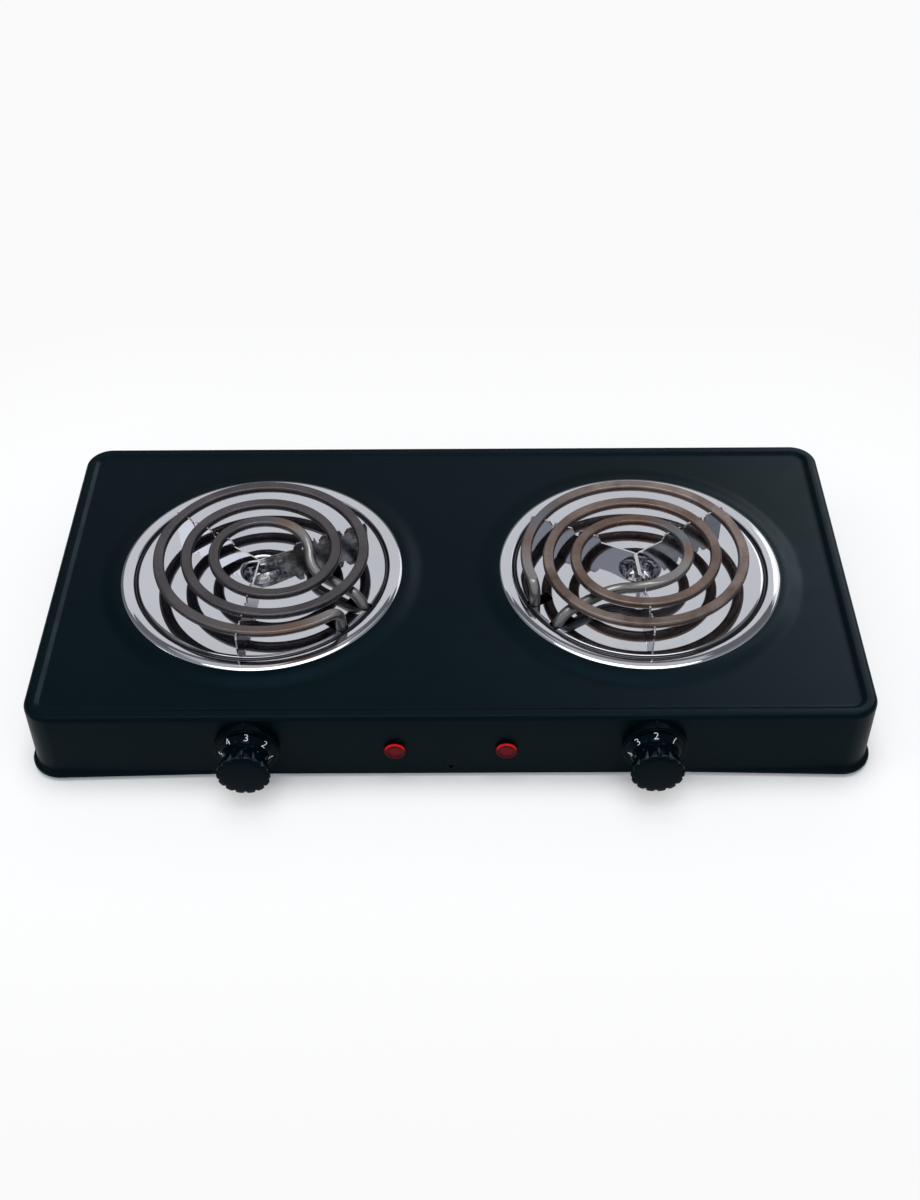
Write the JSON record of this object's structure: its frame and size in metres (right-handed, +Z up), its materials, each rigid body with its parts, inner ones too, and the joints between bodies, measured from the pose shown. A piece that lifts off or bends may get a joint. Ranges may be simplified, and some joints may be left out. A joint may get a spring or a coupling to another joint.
{
  "type": "hot plate burner",
  "caption": "Countertop electric hot plate: black pressed steel housing, coil elements on three-legged supports over chrome drip pans, numbered rotary knobs, red lamps.",
  "frame": {"origin": "on the floor under the middle of the whole footprint, knobs and back lip included", "axes": "+X to the right as seen from the front, +Y to the back, +Z up; the knobs face -Y"},
  "size_m": [0.505, 0.28, 0.0692],
  "materials": {
    "black_nylon": "matt",
    "black_paint": "satin",
    "block_plastic": "matt",
    "brass_screw": "satin",
    "ceramic": "matt",
    "control_case": "matt",
    "foot_rubber": "matt",
    "holder_white": "matt",
    "knob_black": "gloss",
    "lead_cover": "matt",
    "left_element_steel": "dull",
    "lens_red": "gloss",
    "pan_chrome": "polished",
    "pin_metal": "satin",
    "right_element_steel": "dull",
    "rivet_steel": "satin",
    "shaft_metal": "satin",
    "support_steel": "heat blued",
    "zinc_screw": "satin",
    "zinc_sheet": "satin"
  },
  "bodies": {
    "housing": {"top_housing": "black_paint", "base_plate": "zinc_sheet", "feet": "foot_rubber", "base_screws": "zinc_screw", "terminal_block": "block_plastic", "earth_screw": "brass_screw", "earth_nut": "zinc_screw", "cord_gland": "black_nylon", "gland_nut": "black_nylon", "supply_leads": "lead_cover", "left_drip_pan": "pan_chrome", "left_heating_coil": "left_element_steel", "left_support_frame": "support_steel", "left_support_leg": "support_steel", "left_support_rivets": "rivet_steel", "left_pan_screw": "zinc_screw", "left_pan_washer": "zinc_screw", "left_pan_strap": "zinc_sheet", "left_pan_nut": "zinc_screw", "left_terminal_seals": "ceramic", "left_terminal_pins": "pin_metal", "left_control_body": "control_case", "left_control_blades": "brass_screw", "left_control_nut": "zinc_screw", "left_bezel": "knob_black", "left_lamp_lens": "lens_red", "left_lamp_clip": "zinc_screw", "left_lamp_holder": "holder_white", "left_coil_leads": "lead_cover", "left_lamp_leads": "lead_cover", "right_drip_pan": "pan_chrome", "right_heating_coil": "right_element_steel", "right_support_frame": "support_steel", "right_support_leg": "support_steel", "right_support_rivets": "rivet_steel", "right_pan_screw": "zinc_screw", "right_pan_washer": "zinc_screw", "right_pan_strap": "zinc_sheet", "right_pan_nut": "zinc_screw", "right_terminal_seals": "ceramic", "right_terminal_pins": "pin_metal", "right_control_body": "control_case", "right_control_blades": "brass_screw", "right_control_nut": "zinc_screw", "right_bezel": "knob_black", "right_lamp_lens": "lens_red", "right_lamp_clip": "zinc_screw", "right_lamp_holder": "holder_white", "right_coil_leads": "lead_cover", "right_lamp_leads": "lead_cover"},
    "left_knob": {"left_knob": "knob_black", "left_control_shaft": "shaft_metal"},
    "right_knob": {"right_knob": "knob_black", "right_control_shaft": "shaft_metal"}
  },
  "joints": [
    {"name": "left_knob_turn", "type": "hinge", "parent": "housing", "child": "left_knob", "pos_m": [-0.1194, -0.1145, 0.03], "axis": [0, 1, 0], "range_deg": [-150, 90]},
    {"name": "right_knob_turn", "type": "hinge", "parent": "housing", "child": "right_knob", "pos_m": [0.1194, -0.1145, 0.03], "axis": [0, 1, 0], "range_deg": [-94, 146]}
  ]
}
